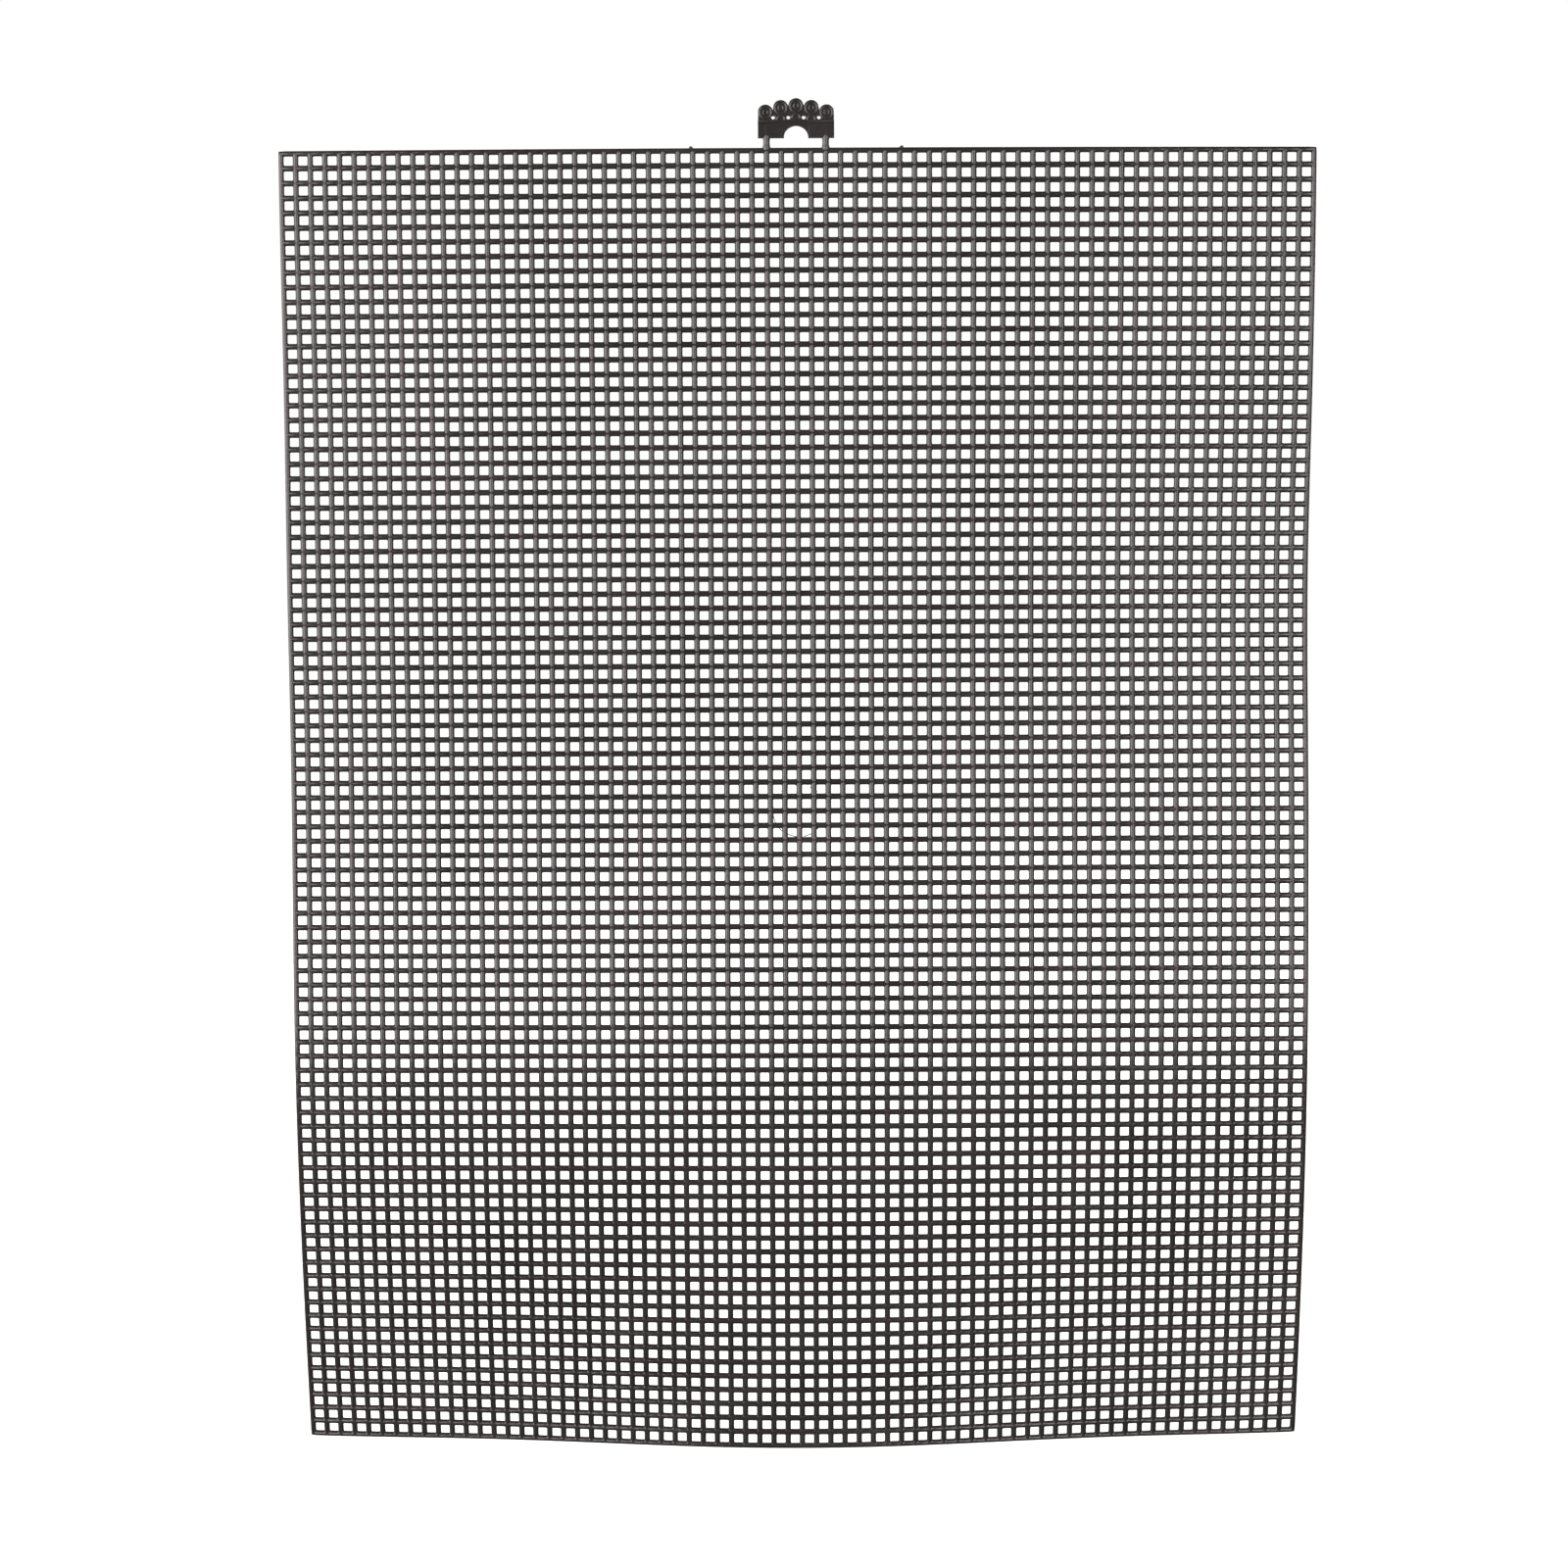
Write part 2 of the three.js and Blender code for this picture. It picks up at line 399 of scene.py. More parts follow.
def cut_faces(cell_index, outline_index, corners, line):
    """Faces that close the rows below a level bar's centre line, facing up."""
    row = cell_index[line - 1]
    front = row[:, 0, [9, 8, 7, 6]]
    back = row[:, -1, [9, 8, 7, 6]]
    faces = []
    for i in range(3):
        strip = np.stack([front[:, i], front[:, i + 1], back[:, i + 1], back[:, i]], axis=1)
        faces += strip.tolist()
    right_end = corners[1] + 3 * line
    left_end = corners[3] + 3 * (ROWS - line)
    faces.append(outline_index[right_end].tolist())
    faces.append(outline_index[left_end][::-1].tolist())
    return faces


def upright_marks(count, cell_index, outline_index, corners):
    """For each of the sheet's points, 1 on the flanks of upright bars and 0 elsewhere."""
    upright = np.zeros(count)
    upright[cell_index[..., [4, 5, 10, 11]]] = 1.0
    upright[outline_index[corners[1]:corners[2]]] = 1.0
    upright[outline_index[corners[3]:]] = 1.0
    return upright


def cell_faces(cell_index):
    """Quads from each ring of every cell to the next ring."""
    turned = np.roll(cell_index, -1, axis=3)
    quads = np.stack([
        cell_index[:, :, :-1], turned[:, :, :-1], turned[:, :, 1:], cell_index[:, :, 1:],
    ], axis=-1)
    # The quads on the two sides of a corner fold along mirrored diagonals.
    quads[..., 2::3, :] = np.roll(quads[..., 2::3, :], 1, axis=-1)
    return quads


def outline_faces(outline_index):
    """Quads of the edge bar's outer flank, and the row of holes that each belongs to."""
    following = np.roll(outline_index, -1, axis=0)
    quads = np.stack([
        following[:, :-1], outline_index[:, :-1], outline_index[:, 1:], following[:, 1:],
    ], axis=-1)
    rows = np.concatenate([
        np.zeros(3 * COLUMNS, int),
        np.repeat(np.arange(ROWS), 3),
        np.full(3 * COLUMNS, ROWS - 1),
        np.repeat(np.arange(ROWS)[::-1], 3),
    ])
    return quads, rows


def mesh_sheet(material):
    """The fused mesh: rounded ridges that cross at equal height, in bands of whole rows."""
    lines_x, half_x = bar_lines(COLUMNS, -HALF_WIDTH, HALF_WIDTH)
    lines_z, half_z = bar_lines(ROWS, 0.0, SHEET_TOP)
    cells = cell_rings(lines_x, half_x, lines_z, half_z)
    outline, corners = outline_rings(cells)
    points, index = weld(np.concatenate([cells.reshape(-1, 3), outline.reshape(-1, 3)]))
    cell_index = index[: cells.size // 3].reshape(cells.shape[:-1])
    outline_index = index[cells.size // 3:].reshape(outline.shape[:-1])
    upright = upright_marks(len(points), cell_index, outline_index, corners)
    cell_quads = cell_faces(cell_index)
    outline_quads, outline_rows = outline_faces(outline_index)

    settled = settle(points)
    all_quads = np.concatenate([cell_quads.reshape(-1, 4), outline_quads.reshape(-1, 4)])
    normals = vertex_normals(settled, all_quads)

    for first in range(0, ROWS, ROWS_PER_BAND):
        last = first + ROWS_PER_BAND
        in_band = (outline_rows >= first) & (outline_rows < last)
        faces = cell_quads[first:last].reshape(-1, 4).tolist()
        faces += outline_quads[in_band].reshape(-1, 4).tolist()
        if last < ROWS:
            faces += cut_faces(cell_index, outline_index, corners, last)
        if first > 0:
            faces += [face[::-1] for face in cut_faces(cell_index, outline_index, corners, first)]
        used = np.unique(np.concatenate([np.asarray(face) for face in faces]))
        local = np.zeros(len(points), int)
        local[used] = np.arange(len(used))
        mesh = bpy.data.meshes.new(f"mesh_rows_{first + 1:02d}_{last:02d}")
        mesh.from_pydata(settled[used].tolist(), [], [local[face].tolist() for face in faces])
        mesh.shade_smooth()
        mesh.normals_split_custom_set_from_vertices(normals[used].tolist())
        mesh.attributes.new("upright", "FLOAT", "POINT").data.foreach_set("value", upright[used])
        add_piece(mesh.name, mesh, material, ("front_grid", "back_grid"))


# ---------------------------------------------------------------- the hang tab and moulding marks

def finish_mesh(mesh, sharp_degrees=40):
    """Welds a flat-built mesh, settles it with the sheet and shades it."""
    work = bmesh.new()
    work.from_mesh(mesh)
    bmesh.ops.remove_doubles(work, verts=work.verts, dist=0.002 * MM)
    bmesh.ops.recalc_face_normals(work, faces=work.faces)
    work.to_mesh(mesh)
    work.free()
    settle_mesh(mesh)
    mesh.shade_smooth()
    mesh.set_sharp_from_angle(angle=math.radians(sharp_degrees))
    return mesh


def mark(mesh, name, value):
    """Stores value(x, z) on every point, for the material to read."""
    attribute = mesh.attributes.new(name, "FLOAT", "POINT")
    for point, vertex in zip(attribute.data, mesh.vertices):
        point.value = value(vertex.co.x, vertex.co.z)


def curve_mesh(curve):
    """A curve drawn in x and y becomes a mesh standing in x and z."""
    holder = bpy.data.objects.new(curve.name, curve)
    bpy.context.scene.collection.objects.link(holder)
    depsgraph = bpy.context.evaluated_depsgraph_get()
    mesh = bpy.data.meshes.new_from_object(holder.evaluated_get(depsgraph))
    bpy.data.objects.remove(holder)
    mesh.transform(Matrix.Rotation(math.pi / 2, 4, "X"))
    return mesh


def inward_steps(loop):
    """For each point of a loop, the step that moves both of its edges one unit into the material."""
    points = np.asarray(loop)
    along = np.roll(points, -1, axis=0) - points
    along /= np.linalg.norm(along, axis=1, keepdims=True)
    left = np.stack([-along[:, 1], along[:, 0]], axis=1)
    middle = left + np.roll(left, 1, axis=0)
    middle /= np.linalg.norm(middle, axis=1, keepdims=True)
    stretch = 1 / np.maximum(1 / LONGEST_MITRE, np.sum(middle * left, axis=1))
    return middle * stretch[:, None]


def edge_profile(half_depth, rounding):
    """A slab's edge from front to back, as (inset from the outline, y).

    A narrow flat margin inside each rounding keeps the faces' shading flat.
    """
    profile = [(rounding + FLAT_MARGIN, -half_depth)]
    for step in range(ROUNDING_STEPS + 1):
        angle = math.pi / 2 * step / ROUNDING_STEPS
        inset = rounding * (1 - math.sin(angle))
        profile.append((inset, -half_depth + rounding * (1 - math.cos(angle))))
    return profile + [(inset, -y) for inset, y in reversed(profile)]


def slab(name, loops, half_depth, rounding):
    """A plate from closed outlines in x and z, with rounded edges.

    The first loop is the outside, anticlockwise. Any others are eyes, clockwise.
    """
    profile = edge_profile(half_depth, rounding)
    points, faces, rims = [], [], []
    for loop in loops:
        first = len(points)
        count = len(loop)
        steps = inward_steps(loop)
        for inset, y in profile:
            rim = np.asarray(loop) + steps * inset
            points += [(x, y, z) for x, z in rim]
        for level in range(len(profile) - 1):
            low = first + level * count
            for i in range(count):
                j = (i + 1) % count
                faces.append((low + i, low + count + i, low + count + j, low + j))
        rims.append(range(first, first + count))
    back = len(profile) - 1
    flat = [[Vector((points[i][0], points[i][2], 0)) for i in rim] for rim in rims]
    front_of = [i for rim in rims for i in rim]
    back_of = [i + back * len(rim) for rim in rims for i in rim]
    for a, b, c in tessellate_polygon(flat):
        faces.append((front_of[a], front_of[b], front_of[c]))
        faces.append((back_of[c], back_of[b], back_of[a]))
    mesh = bpy.data.meshes.new(name)
    mesh.from_pydata(points, [], faces)
    return mesh


def beads(name, paths, radius, depth):
    """Round beads along open or closed paths of (x, z) at one depth, negative to the front."""
    curve = bpy.data.curves.new(name, "CURVE")
    curve.dimensions = "3D"
    curve.bevel_depth = radius
    curve.bevel_resolution = 3
    curve.use_fill_caps = True
    for path, closed in paths:
        spline = curve.splines.new("POLY")
        spline.points.add(len(path) - 1)
        for point, (x, z) in zip(spline.points, path):
            point.co = (x, z, -depth, 1)
        spline.use_cyclic_u = closed
    return curve_mesh(curve)


def on_circle(x, z, radius, degrees):
    """The point of a circle at an angle from +x, anticlockwise."""
    angle = math.radians(degrees)
    return x + radius * math.cos(angle), z + radius * math.sin(angle)


def arc(x, z, radius, start, end, count):
    """Points of a circle from start to end degrees, both included."""
    return [on_circle(x, z, radius, start + (end - start) * i / (count - 1)) for i in range(count)]


def circle(x, z, radius, count, clockwise=False):
    """Points right round a circle from +x, anticlockwise unless told otherwise."""
    step = 360 / count
    start, end = (360, step) if clockwise else (0, 360 - step)
    return arc(x, z, radius, start, end, count)


def rectangle(left, right, low, high):
    """Four corners, anticlockwise from the lower right."""
    return [(right, low), (right, high), (left, high), (left, low)]


def loft(name, rings):
    """Joins rings of equal point counts, bottom to top, and closes both ends."""
    count = len(rings[0])
    points = [point for ring in rings for point in ring]
    faces = [tuple(range(count))[::-1]]
    for level in range(len(rings) - 1):
        for i in range(count):
            j = (i + 1) % count
            low, high = level * count, (level + 1) * count
            faces.append((low + i, low + j, high + j, high + i))
    faces.append(tuple(range((len(rings) - 1) * count, len(rings) * count)))
    mesh = bpy.data.meshes.new(name)
    mesh.from_pydata(points, [], faces)
    return mesh


def lobes():
    """Middle x and springing height of each crest lobe, left to right."""
    for i in range(LOBES):
        across = (i - (LOBES - 1) / 2) / ((LOBES - 1) / 2)
        x = PLATE_LOW.x + (2 * i + 1) * LOBE_RADIUS
        yield x, CREST_BASE + LOBE_SHOULDER + LOBE_RISE * math.cos(across * math.pi / 2)


def hanger_plate(material):
    """The notched plate, with two blank raised fields and a rib on its front."""
    low, high = PLATE_LOW.z, PLATE_HIGH.z
    outline = rectangle(PLATE_LOW.x, PLATE_HIGH.x, low, high)
    outline += arc(0, low, NOTCH_RADIUS, 180, 0, NOTCH_POINTS)
    mesh = slab("tab_plate", [outline], HALF_THICKNESS, PLATE_ROUNDING)
    add_piece("tab_plate", finish_mesh(mesh), material, ("hanger_plate",))

    inner, outer = NOTCH_RADIUS + FIELD_FROM_NOTCH, PLATE_HIGH.x - FIELD_FROM_SIDE
    for name, left, right in (("tab_field_left", -outer, -inner), ("tab_field_right", inner, outer)):
        field = rectangle(left, right, low + FIELD_ABOVE_EDGE, high - FIELD_BELOW_TOP)
        mesh = slab(name, [field], FIELD_RISE, FIELD_ROUNDING)
        mesh.transform(Matrix.Translation((0, -HALF_THICKNESS, 0)))
        add_piece(name, finish_mesh(mesh), material)

    start, end = PLATE_LOW.x + RIB_FROM_SIDE, PLATE_HIGH.x - RIB_FROM_SIDE
    rib = [(start + (end - start) * i / (RIB_POINTS - 1), high - RIB_BELOW_TOP) for i in range(RIB_POINTS)]
    mesh = beads("tab_rib", [(rib, False)], RIB_RADIUS, RIB_DEPTH)
    add_piece("tab_rib", finish_mesh(mesh), material)


def hanger_crest(material):
    """Scalloped lobes with beads on their front, and a small eye low down between each pair."""
    base = CREST_BASE - CREST_LET_IN
    outline = [(PLATE_LOW.x, base), (PLATE_HIGH.x, base)]
    eyes, rims, rings = [], [], []
    for x, springing in reversed(list(lobes())):
        outline += arc(x, springing, LOBE_RADIUS, GROOVE_ANGLE, 180 - GROOVE_ANGLE, LOBE_POINTS)
        rims.append((circle(x, springing, LOBE_RADIUS - RIM_INSET, RIM_POINTS), True))
        rings.append((circle(x, springing, RING_RADIUS, RING_POINTS), True))
        if x > PLATE_LOW.x + 2 * LOBE_RADIUS:
            eye_height = CREST_BASE + EYE_HEIGHT
            eyes.append(circle(x - LOBE_RADIUS, eye_height, EYE_RADIUS, EYE_POINTS, clockwise=True))
        if springing > CREST_BASE + LOBE_SHOULDER + SCALLOP_ROOM:
            below = springing - LOBE_RADIUS - SCALLOP_RADIUS
            rims.append((arc(x, below, SCALLOP_RADIUS, *SCALLOP_SWEEP, SCALLOP_POINTS), False))
    mesh = slab("tab_crest", [outline, *eyes], CREST_HALF_THICKNESS, CREST_ROUNDING)
    add_piece("tab_crest", finish_mesh(mesh), material, ("hanger_crest",))
    mesh = beads("tab_crest_rims", rims, RIM_BEAD, BEAD_DEPTH)
    add_piece("tab_crest_rims", finish_mesh(mesh), material)
    mesh = beads("tab_crest_rings", rings, RING_BEAD, BEAD_DEPTH)
    add_piece("tab_crest_rings", finish_mesh(mesh), material)


def rounded_section(x, z, half_width, front, back, count):
    """Half-round in front and flat behind, with blunt back corners in between."""
    ring = []
    for i in range(count):
        angle = 2 * math.pi * i / count
        across, out = math.cos(angle), math.sin(angle)
        y = -front * out if out > 0 else back * min(1.0, -BACK_BLUNTNESS * out)
        ring.append((x + half_width * across, y, z))
    return ring


def hanger_legs(material):
    """Legs with a toe that laps over the top edge bar and a small flare under the plate."""
    # Height above the sheet, half width, front and back depth, all in millimetres.
    toe = (
        (-0.95, 0.35, 0.60, 0.30), (-0.82, 0.74, 0.82, 0.45), (-0.55, 0.98, 0.90, 0.55),
        (-0.15, 1.08, 0.92, 0.60), (0.25, 1.02, 0.88, 0.60), (0.60, 0.90, 0.82, 0.60),
        (1.00, 0.87, 0.78, 0.60),
    )
    # The same, with the height above the plate's lower edge.
    head = (
        (-0.70, 0.87, 0.78, 0.60), (-0.30, 0.92, 0.80, 0.60), (0.00, 1.06, 0.86, 0.60),
        (0.30, 1.02, 0.88, 0.60), (0.80, 0.80, 0.84, 0.50), (1.20, 0.45, 0.70, 0.40),
    )
    bend = SHEET_TOP + BEND_HEIGHT
    levels = [(SHEET_TOP + z * MM, *section) for z, *section in toe]
    levels += [(PLATE_LOW.z + z * MM, *section) for z, *section in head]
    for name, sign in (("left", -1), ("right", 1)):
        rings = [
            rounded_section(sign * LEG_OFFSET, z, half * MM, front * MM, back * MM, LEG_POINTS)
            for z, half, front, back in levels
        ]
        mesh = loft(f"tab_leg_{name}", rings)
        mark(mesh, "upright", lambda x, z: 1.0)
        mark(mesh, "strain_and_glint", lambda x, z: max(0.0, 1 - abs(z - bend) / BEND_REACH))
        add_piece(mesh.name, finish_mesh(mesh, sharp_degrees=60), material, (f"hanger_leg_{name}",))


def gate_stubs(material):
    """Torn nubs where the plastic flowed in along the top edge."""
    # Height above the sheet, half width, depth either way and lean, all in millimetres.
    levels = (
        (-0.30, 0.60, 0.42, 0.0), (0.05, 0.58, 0.44, 0.0), (0.25, 0.42, 0.36, 0.06),
        (0.42, 0.30, 0.24, 0.10), (0.50, 0.12, 0.12, 0.16),
    )
    for name, sign in (("left", -1), ("right", 1)):
        rings = [
            rounded_section(sign * (STUB_OFFSET + lean * MM), SHEET_TOP + z * MM, half * MM,
                            depth * MM, depth * MM, STUB_POINTS)
            for z, half, depth, lean in levels
        ]
        mesh = loft(f"torn_gate_{name}", rings)
        mark(mesh, "strain_and_glint", lambda x, z: min(1.0, max(0.0, (z - SHEET_TOP) / TEAR_HEIGHT)))
        add_piece(mesh.name, finish_mesh(mesh, sharp_degrees=50), material, (f"gate_stub_{name}",))


def hole_middle(column, row):
    """Middle of a hole. Columns and rows count from 0 at the lower left, and halves fall on bars."""
    return -HALF_WIDTH + EDGE + HOLE / 2 + column * PITCH, EDGE + HOLE / 2 + row * PITCH


def onto_bar(x, z):
    """Moves a point that falls in a hole to the nearest wall of that hole."""
    first_x, first_z = hole_middle(0, 0)
    hole_x, hole_z = hole_middle(round((x - first_x) / PITCH), round((z - first_z) / PITCH))
    across, upward = x - hole_x, z - hole_z
    if max(abs(across), abs(upward)) < HOLE / 2:
        if abs(across) > abs(upward):
            x = hole_x + math.copysign(HOLE / 2, across)
        else:
            z = hole_z + math.copysign(HOLE / 2, upward)
    return x, z


def insert_marks(material):
    """Hair-thin flash and small burrs along the circles that the mould's inserts left."""
    middle, radius = INSERT_CIRCLE
    flash = [(arc(0, middle, radius - stray * MM, first, last, HAIR_POINTS), False)
             for first, last, stray in FLASH_HAIRS]
    mesh = beads("insert_flash", flash, FLASH_RADIUS, FLASH_DEPTH)
    add_piece("insert_flash", finish_mesh(mesh), material)

    # The burrs come in three sizes and at four depths, by turns.
    lumps = bmesh.new()
    burrs = [(INSERT_CIRCLE, angle) for angle in INSERT_BURRS]
    burrs += [(LOWER_CIRCLE, angle) for angle in LOWER_BURRS]
    for n, ((middle, radius), angle) in enumerate(burrs):
        x, z = onto_bar(*on_circle(0, middle, radius, angle))
        size = (0.13 + 0.05 * (n % 3)) * MM
        depth = (-0.35 + 0.2 * (n % 4)) * MM
        place = Matrix.Translation((x, depth, z)) @ Matrix.Diagonal(BURR_STRETCH)
        bmesh.ops.create_icosphere(lumps, subdivisions=2, radius=size, matrix=place)
    mesh = bpy.data.meshes.new("insert_burrs")
    lumps.to_mesh(mesh)
    lumps.free()
    add_piece("insert_burrs", finish_mesh(mesh, sharp_degrees=80), material)


def crossing_nibs(material):
    """Small nibs a little to the upper right on their crossings. Their pale colour is a painted glint."""
    nibs = bmesh.new()
    for upright, level in NIB_CROSSINGS:
        x, z = hole_middle(upright - 0.5, level - 0.5)
        place = Matrix.Translation(Vector((x, 0, z)) + NIB_OFFSET)
        bmesh.ops.create_icosphere(nibs, subdivisions=2, radius=NIB_RADIUS, matrix=place)
    mesh = bpy.data.meshes.new("crossing_nibs")
    nibs.to_mesh(mesh)
    nibs.free()
    # A mark of 2 colours the nibs near-white, as a painted glint.
    mark(mesh, "strain_and_glint", lambda x, z: 2.0)
    add_piece("crossing_nibs", finish_mesh(mesh, sharp_degrees=80), material)


def corner_flash(material):
    """Webs with a hollow edge that fill corners of single holes, let into the bars a little."""
    webs = bmesh.new()
    for column, row, across, upward, radius in FILLED_CORNERS:
        x, z = hole_middle(column, row)
        corner_x, corner_z = x + across * HOLE / 2, z + upward * HOLE / 2
        web = arc(-radius, -radius, radius, 0, 90, WEB_POINTS)
        web += [(-radius, WEB_LET_IN), (WEB_LET_IN, WEB_LET_IN), (WEB_LET_IN, -radius)]
        outline = [(corner_x + across * out, corner_z + upward * up) for out, up in web]
        if across * upward > 0:
            outline.reverse()
        webs.from_mesh(slab("web", [outline], WEB_HALF_DEPTH, WEB_ROUNDING))
    mesh = bpy.data.meshes.new("corner_flash")
    webs.to_mesh(mesh)
    webs.free()
    add_piece("corner_flash", finish_mesh(mesh), material)


# ---------------------------------------------------------------- materials

class Shading:
    """A new principled material, with short calls that add nodes to it."""

    def __init__(self, name):
        self.material = bpy.data.materials.new(name)
        self.material.use_nodes = True
        self.nodes = self.material.node_tree.nodes
        self.links = self.material.node_tree.links
        self.inputs = self.nodes["Principled BSDF"].inputs

    def feed(self, value, socket):
        """Links an output to a socket, or sets the socket to a plain value."""
        if isinstance(value, bpy.types.NodeSocket):
            self.links.new(value, socket)
        else:
            socket.default_value = value

    def attribute(self, name):
        node = self.nodes.new("ShaderNodeAttribute")
        node.attribute_name = name
        return node.outputs["Fac"]

    def noise(self, place, scale, detail, roughness=0.5):
        """Soft noise from 0 to 1, with scale in features per metre."""
        node = self.nodes.new("ShaderNodeTexNoise")
        node.inputs["Scale"].default_value = scale
        node.inputs["Detail"].default_value = detail
        node.inputs["Roughness"].default_value = roughness
        self.links.new(place, node.inputs["Vector"])
        return node.outputs["Fac"]

    def ramp(self, value, from_low, from_high, to_low=0.0, to_high=1.0):
        node = self.nodes.new("ShaderNodeMapRange")
        node.inputs["From Min"].default_value = from_low
        node.inputs["From Max"].default_value = from_high
        node.inputs["To Min"].default_value = to_low
        node.inputs["To Max"].default_value = to_high
        self.links.new(value, node.inputs["Value"])
        return node.outputs["Result"]

    def blend(self, share, low, high, kind="RGBA"):
        """Mixes two colours or vectors by a share from 0 to 1."""
        mix = self.nodes.new("ShaderNodeMix")
        mix.data_type = kind
        self.feed(low, mix.inputs["A"])
        self.feed(high, mix.inputs["B"])
        self.feed(share, mix.inputs["Factor"])
        return mix.outputs["Result"]

    def combine(self, operation, first, second):
        node = self.nodes.new("ShaderNodeMath")
        node.operation = operation
        self.feed(first, node.inputs[0])
        self.feed(second, node.inputs[1])
        return node.outputs["Value"]

    def specks(self, place, scale, radius, kept):
        """A mask of small specks: cells per metre, speck radius in cells, and the share of cells kept."""
        cells = self.nodes.new("ShaderNodeTexVoronoi")
        cells.inputs["Scale"].default_value = scale
        self.links.new(place, cells.inputs["Vector"])
        near = self.ramp(cells.outputs["Distance"], radius, 0.6 * radius)
        chosen = self.combine("LESS_THAN", cells.outputs["Color"], kept)
        return self.combine("MULTIPLY", near, chosen)


def black_plastic(name):
    """Near-black satin polyethylene: uneven pigment, a moulded grain, handling scuffs and lint."""
    paint = Shading(name)
    paint.inputs["IOR"].default_value = 1.5
    place = paint.nodes.new("ShaderNodeTexCoord").outputs["Object"]

    # The pigment is a little uneven where the melt flowed, over centimetres and over a few bars.
    flow = paint.combine("MULTIPLY", paint.noise(place, 14.0, 2.0), 0.5)
    cloud = paint.combine("MULTIPLY", paint.noise(place, 75.0, 4.0), 0.5)
    uneven = paint.ramp(paint.combine("ADD", flow, cloud), 0.38, 0.62)
    pigment = paint.blend(uneven, DARK_PIGMENT, LIGHT_PIGMENT)

    # Plastic that was bent goes pale, in streaks. A mark beyond 1, which only the nibs carry, paints them
    # near-white as a painted glint.
    strain_and_glint = paint.attribute("strain_and_glint")
    streaks = paint.ramp(paint.noise(place, 2600.0, 3.0), 0.35, 0.75, 0.0, 0.8)
    pale = paint.combine("MULTIPLY", strain_and_glint, streaks)
    bent = paint.blend(pale, pigment, BENT_PLASTIC)
    plastic = paint.blend(paint.ramp(strain_and_glint, 1.0, 2.0), bent, PAINTED_NIB_GLINT)

    # Lint and dust sit in specks a tenth of a millimetre across.
    dust = paint.specks(place, 1100.0, 0.11, 0.16)
    lint = paint.specks(place, 420.0, 0.06, 0.08)
    specked = paint.blend(paint.combine("MAXIMUM", dust, lint), plastic, DUST)
    paint.feed(specked, paint.inputs["Base Color"])

    # The ridges are polished and scuffed in patches by handling and by the stack of sheets.
    polish = paint.ramp(paint.noise(place, 160.0, 4.0, 0.6), 0.3, 0.7, 0.21, 0.32)
    scuffs = paint.ramp(paint.noise(place, 900.0, 5.0, 0.7), 0.55, 0.8, 0.0, 0.16)
    dulled = paint.combine("MULTIPLY", pale, 0.3)
    roughness = paint.combine("ADD", paint.combine("ADD", polish, scuffs), dulled)
    paint.feed(roughness, paint.inputs["Roughness"])

    # A fine moulded grain over a shallow ripple along the bars.
    grain = paint.noise(place, 4500.0, 2.0)
    ripple = paint.combine("MULTIPLY", paint.noise(place, 700.0, 2.0), 1.5)
    bump = paint.nodes.new("ShaderNodeBump")
    bump.inputs["Strength"].default_value = 0.2
    bump.inputs["Distance"].default_value = 0.03 * MM
    paint.feed(paint.combine("ADD", grain, ripple), bump.inputs["Height"])
    paint.feed(bump.outputs["Normal"], paint.inputs["Normal"])

    # The mould's grooves were milled along each bar, so the sheen spreads across the bar.
    along = paint.blend(paint.attribute("upright"), (0, 0, 1), (1, 0, 0), "VECTOR")
    paint.feed(along, paint.inputs["Tangent"])
    paint.inputs["Anisotropic"].default_value = SHEEN_SPREAD
    return paint.material


def pale_floor():
    """A pale floor that glows to the camera only, so that it is as bright as the backdrop."""
    paint = Shading("pale_floor")
    paint.inputs["Base Color"].default_value = (0.8, 0.8, 0.8, 1)
    paint.inputs["Roughness"].default_value = 0.9
    paint.inputs["Emission Color"].default_value = (1, 1, 1, 1)
    seen = paint.nodes.new("ShaderNodeLightPath").outputs["Is Camera Ray"]
    paint.feed(seen, paint.inputs["Emission Strength"])
    return paint.material


# ---------------------------------------------------------------- studio

def studio_world():
    """White where the camera looks, and a softer grey as a source of light."""
    world = bpy.data.worlds.new("studio")
    bpy.context.scene.world = world
    world.use_nodes = True
    nodes, links = world.node_tree.nodes, world.node_tree.links
    nodes.clear()
    seen = nodes.new("ShaderNodeBackground")
    seen.inputs["Strength"].default_value = 1.0
    seen.inputs["Color"].default_value = (1, 1, 1, 1)
    lit = nodes.new("ShaderNodeBackground")
    lit.inputs["Strength"].default_value = FILL_LIGHT
    path = nodes.new("ShaderNodeLightPath")
    mix = nodes.new("ShaderNodeMixShader")
    output = nodes.new("ShaderNodeOutputWorld")
    links.new(path.outputs["Is Camera Ray"], mix.inputs["Fac"])
    links.new(lit.outputs["Background"], mix.inputs[1])
    links.new(seen.outputs["Background"], mix.inputs[2])
    links.new(mix.outputs["Shader"], output.inputs["Surface"])


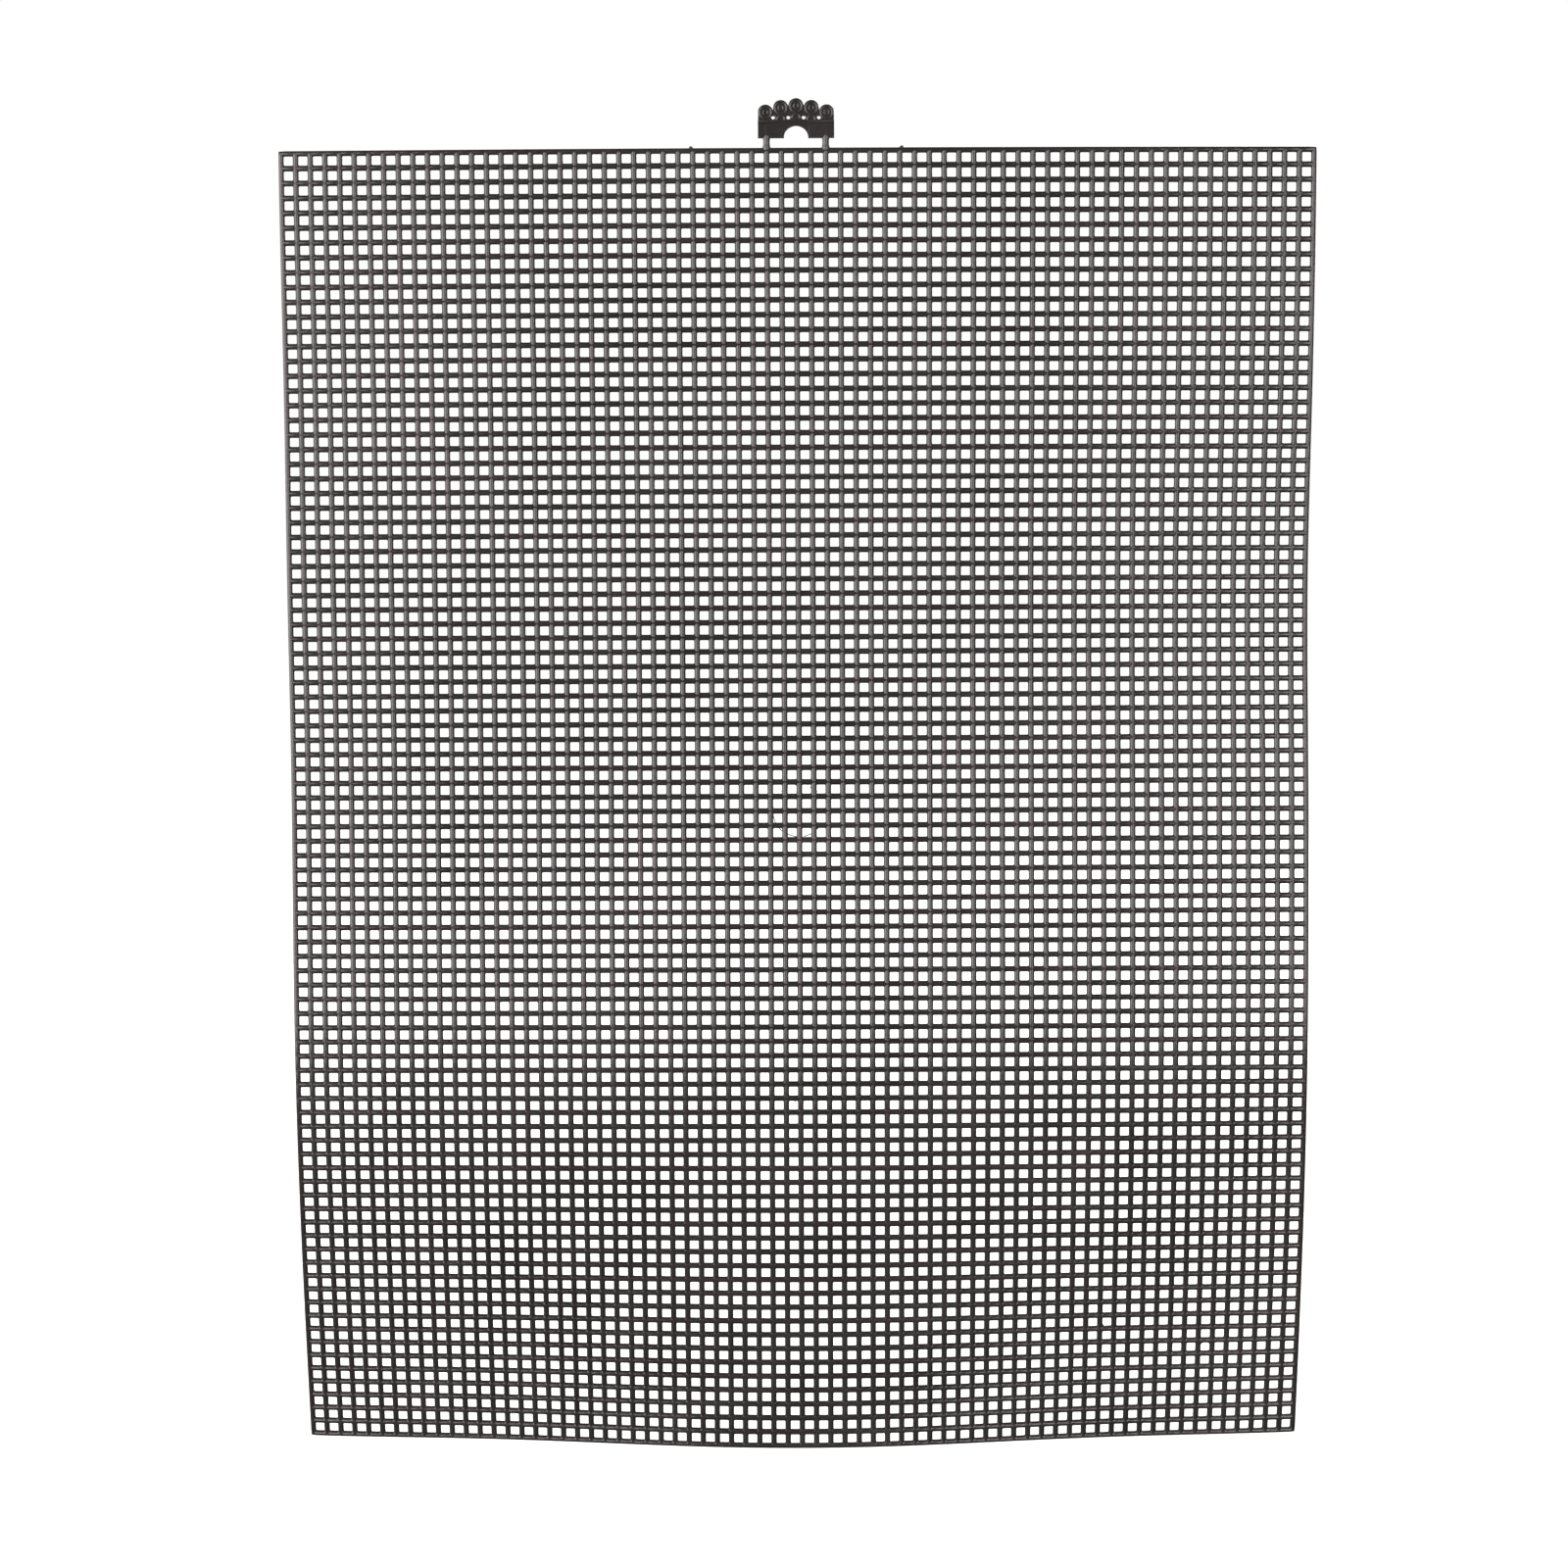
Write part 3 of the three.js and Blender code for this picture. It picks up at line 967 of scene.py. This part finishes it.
def lamp_panel(name, azimuth, width, foot, top, radiance):
    """An upright soft panel that faces the sheet."""
    light = bpy.data.lights.new(name, "AREA")
    light.shape = "RECTANGLE"
    light.size = width
    light.size_y = top - foot
    light.energy = radiance * math.pi * width * (top - foot)
    light.color = LAMP_TINT
    lamp = bpy.data.objects.new(name, light)
    angle = math.radians(azimuth)
    right, front = math.sin(angle) * LAMP_DISTANCE, math.cos(angle) * LAMP_DISTANCE
    middle = Vector((right, -front, (foot + top) / 2))
    lamp.location = middle
    lamp.rotation_mode = "QUATERNION"
    lamp.rotation_quaternion = Vector((-middle.x, -middle.y, 0)).to_track_quat("-Z", "Y")
    lamp.visible_camera = False
    bpy.context.scene.collection.objects.link(lamp)


def pale_ground():
    """The floor. It bounces no light onto the sheet and casts no shadow."""
    mesh = bpy.data.meshes.new("floor")
    side = FLOOR_HALF_SIDE
    corners = [(-side, -side, 0), (side, -side, 0), (side, side, 0), (-side, side, 0)]
    mesh.from_pydata(corners, [], [(0, 1, 2, 3)])
    mesh.materials.append(pale_floor())
    floor = bpy.data.objects.new("floor", mesh)
    floor.location.z = FLOOR_HEIGHT
    floor.visible_diffuse = False
    floor.visible_glossy = False
    floor.visible_shadow = False
    bpy.context.scene.collection.objects.link(floor)


def camera():
    """Looks down on the sheet a little, from in front."""
    data = bpy.data.cameras.new("camera")
    data.lens = LENS
    data.sensor_width = SENSOR
    data.clip_start = NEAR_CLIP
    view = bpy.data.objects.new("camera", data)
    bpy.context.scene.collection.objects.link(view)
    aim = Vector((AIM_RIGHT, -SETTLE_FORWARD, MIDDLE + AIM_UP + FOOT_DRAWN))
    upright = Matrix.Rotation(math.pi / 2, 4, "X")
    turn = Matrix.Rotation(CAMERA_YAW, 4, "Z") @ Matrix.Rotation(-CAMERA_PITCH, 4, "X")
    roll = Matrix.Rotation(-CAMERA_ROLL, 4, "Z")
    rotation = turn @ upright @ roll
    back = rotation @ Vector((0, 0, 1))
    view.matrix_world = Matrix.Translation(aim + back * CAMERA_DISTANCE) @ rotation
    bpy.context.scene.camera = view


bpy.context.scene.view_settings.view_transform = "Standard"

plastic = black_plastic("black_plastic_mesh")
mesh_sheet(plastic)
tab_plastic = black_plastic("black_plastic_tab")
for tab_part in (hanger_plate, hanger_crest, hanger_legs, gate_stubs):
    tab_part(tab_plastic)
for flaw in (insert_marks, crossing_nibs, corner_flash):
    flaw(plastic)

studio_world()
for lamp_settings in LAMPS:
    lamp_panel(*lamp_settings)
pale_ground()
camera()
